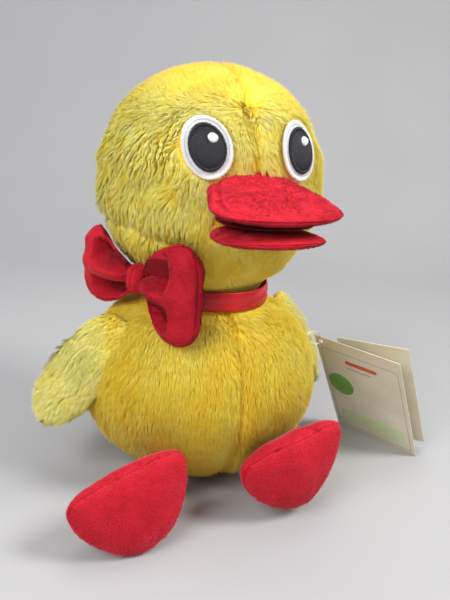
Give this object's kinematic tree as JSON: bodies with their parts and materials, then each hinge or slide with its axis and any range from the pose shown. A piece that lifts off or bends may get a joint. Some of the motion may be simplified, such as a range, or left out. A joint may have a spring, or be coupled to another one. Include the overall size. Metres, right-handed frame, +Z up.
{
  "type": "plush duck",
  "caption": "Seated stuffed toy duck of long-pile plush with velour bill, legs and feet, a ribbon collar with a bow, and a folded card tag.",
  "frame": {"origin": "middle of the flat that the body sits on", "axes": "+Z up through the neck, -Y the way the duck faces, +X its left side"},
  "size_m": [0.2964, 0.2299, 0.2798],
  "materials": {
    "plush": "long clumped pile, soft sheen",
    "velour": "short brushed pile, pale at grazing angles",
    "lining": "short pile, dark",
    "satin": "shiny woven ribbon",
    "white_felt": "matt, satin-stitched edge",
    "black_felt": "embroidered thread",
    "filling": "loose polyester fibre",
    "granule_bag": "plain woven bag of granules",
    "label": "woven tape, blank",
    "card": "coated card",
    "clear_plastic": "clear thread"
  },
  "bodies": {
    "torso": {"body_skin": "plush", "body_filling": "filling", "granule_bag": "granule_bag", "tail": "plush", "care_label": "label", "collar_ribbon": "satin", "bow_knot": "velour", "bow_front_loop": "velour", "bow_back_loop": "velour"},
    "head": {"head_skin": "plush", "head_filling": "filling", "upper_bill_skin": "velour", "upper_bill_filling": "filling", "lower_bill_skin": "velour", "lower_bill_filling": "filling", "mouth_lining": "lining", "eye_white_right": "white_felt", "eye_black_right": "black_felt", "eye_glint_right": "white_felt", "eye_white_left": "white_felt", "eye_black_left": "black_felt", "eye_glint_left": "white_felt"},
    "wing_right": {"right_wing_skin": "plush", "right_wing_filling": "filling"},
    "wing_left": {"left_wing_skin": "plush", "left_wing_filling": "filling"},
    "leg_right": {"right_leg": "velour"},
    "leg_left": {"left_leg": "velour"},
    "foot_right": {"right_foot_skin": "velour", "right_foot_filling": "filling"},
    "foot_left": {"left_foot_skin": "velour", "left_foot_filling": "filling"},
    "tag_front": {"tag_front_leaf": "card", "tag_loop": "clear_plastic"},
    "tag_back": {"tag_back_leaf": "card"}
  },
  "joints": [
    {"name": "head_turn", "type": "hinge", "parent": "torso", "child": "head", "pos_m": [0, 0, 0.134], "axis": [0, 0, 1], "range_deg": [-20, 20], "stiffness_Nm_per_rad": 0.15},
    {"name": "wing_right_swing", "type": "hinge", "parent": "torso", "child": "wing_right", "pos_m": [-0.064, -0.006, 0.114], "axis": [0, 1, 0], "range_deg": [0, 20]},
    {"name": "wing_left_swing", "type": "hinge", "parent": "torso", "child": "wing_left", "pos_m": [0.064, 0.013, 0.116], "axis": [0, -1, 0], "range_deg": [0, 10]},
    {"name": "leg_right_splay", "type": "hinge", "parent": "torso", "child": "leg_right", "pos_m": [-0.046, -0.061, 0.02], "axis": [0, 0, 1], "range_deg": [-25, 10], "stiffness_Nm_per_rad": 0.05},
    {"name": "leg_left_splay", "type": "hinge", "parent": "torso", "child": "leg_left", "pos_m": [0.03, -0.062, 0.017], "axis": [0, 0, 1], "range_deg": [0, 20], "stiffness_Nm_per_rad": 0.05},
    {"name": "foot_right_tilt", "type": "hinge", "parent": "leg_right", "child": "foot_right", "pos_m": [-0.057, -0.071, 0.027], "axis": [0.9903, 0.139, 0], "range_deg": [-10, 15], "stiffness_Nm_per_rad": 0.04},
    {"name": "foot_left_tilt", "type": "hinge", "parent": "leg_left", "child": "foot_left", "pos_m": [0.035, -0.072, 0.023], "axis": [0.9903, 0.139, 0], "range_deg": [0, 15], "stiffness_Nm_per_rad": 0.04},
    {"name": "tag_swing", "type": "hinge", "parent": "torso", "child": "tag_front", "pos_m": [0.078, -0.0168, 0.0957], "axis": [-0.3907, 0.9205, 0], "range_deg": [0, 20]},
    {"name": "tag_open", "type": "hinge", "parent": "tag_front", "child": "tag_back", "pos_m": [0.138, 0.014, 0.0005], "axis": [-0.4459, -0.189, 0.8749], "range_deg": [-8, 60], "stiffness_Nm_per_rad": 0.003}
  ]
}
